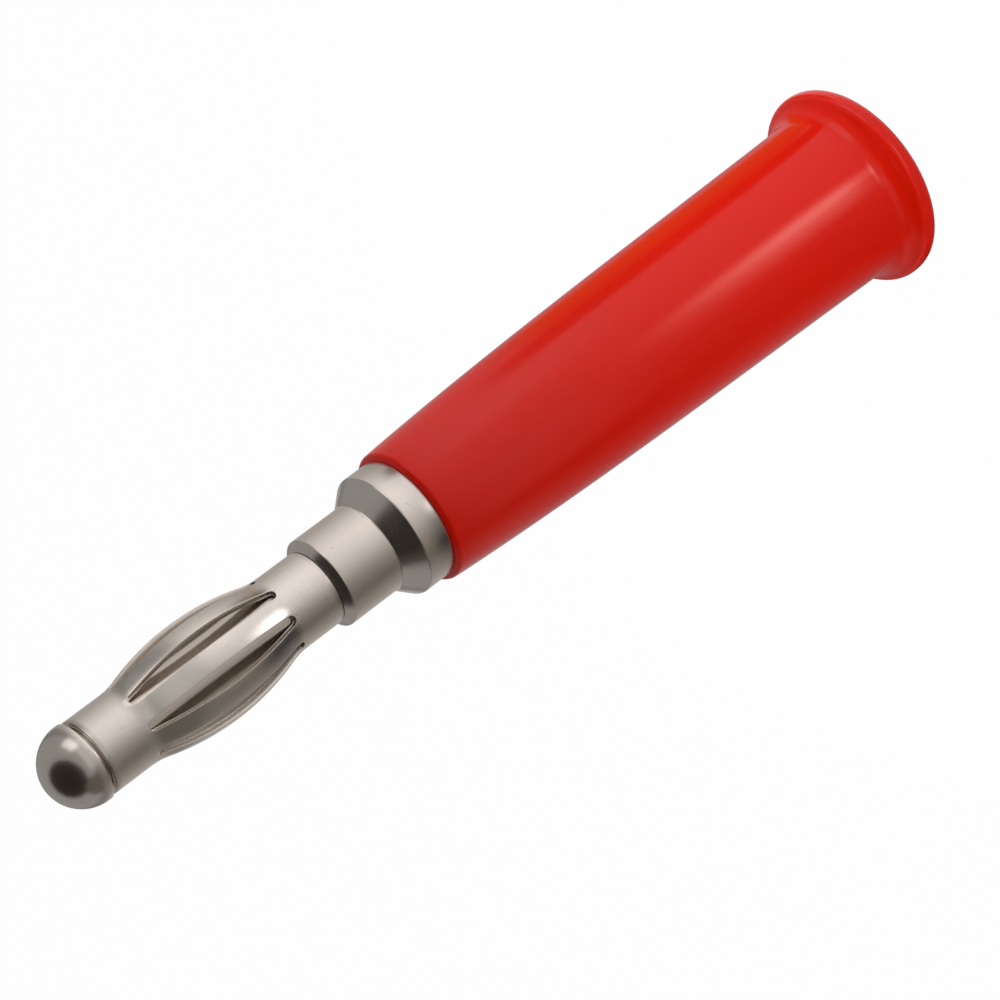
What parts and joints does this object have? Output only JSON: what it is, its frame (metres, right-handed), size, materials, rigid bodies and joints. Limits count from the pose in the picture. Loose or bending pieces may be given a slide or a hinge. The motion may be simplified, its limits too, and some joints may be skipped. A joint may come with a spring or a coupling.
{
  "type": "banana plug",
  "caption": "Banana plug for a 4 mm socket: nickel-plated pin with a lantern spring, and a red insulating sleeve with a flared rear rim that pulls off the shank.",
  "frame": {"origin": "centre of the sleeve's rear face, on the plug's axis, where the plug stands", "axes": "+Z along the plug's axis from the sleeve's rear face to the nose; the clamp screw faces -Y"},
  "size_m": [0.0088, 0.0088, 0.0437],
  "materials": {
    "red_plastic": "glossy moulded soft plastic",
    "nickel_plate": "bright nickel plate over turned brass",
    "spring_nickel": "bright nickel plate over rolled spring sheet",
    "screw_steel": "plain steel screw"
  },
  "bodies": {
    "sleeve": {"insulating_sleeve": "red_plastic"},
    "contact": {"contact_body": "nickel_plate"},
    "spring": {"lantern_spring": "spring_nickel"},
    "screw": {"clamp_screw": "screw_steel"}
  },
  "joints": [
    {"name": "contact_pull", "type": "slide", "parent": "sleeve", "child": "contact", "axis": [0, 0, 1], "range_m": [0, 0.0135]},
    {"name": "spring_turn", "type": "hinge", "parent": "contact", "child": "spring", "pos_m": [0, 0, 0.03611], "axis": [0, 0, 1], "continuous": true},
    {"name": "screw_feed", "type": "slide", "parent": "contact", "child": "screw", "axis": [0, 1, 0], "range_m": [0, 0.0007]}
  ]
}
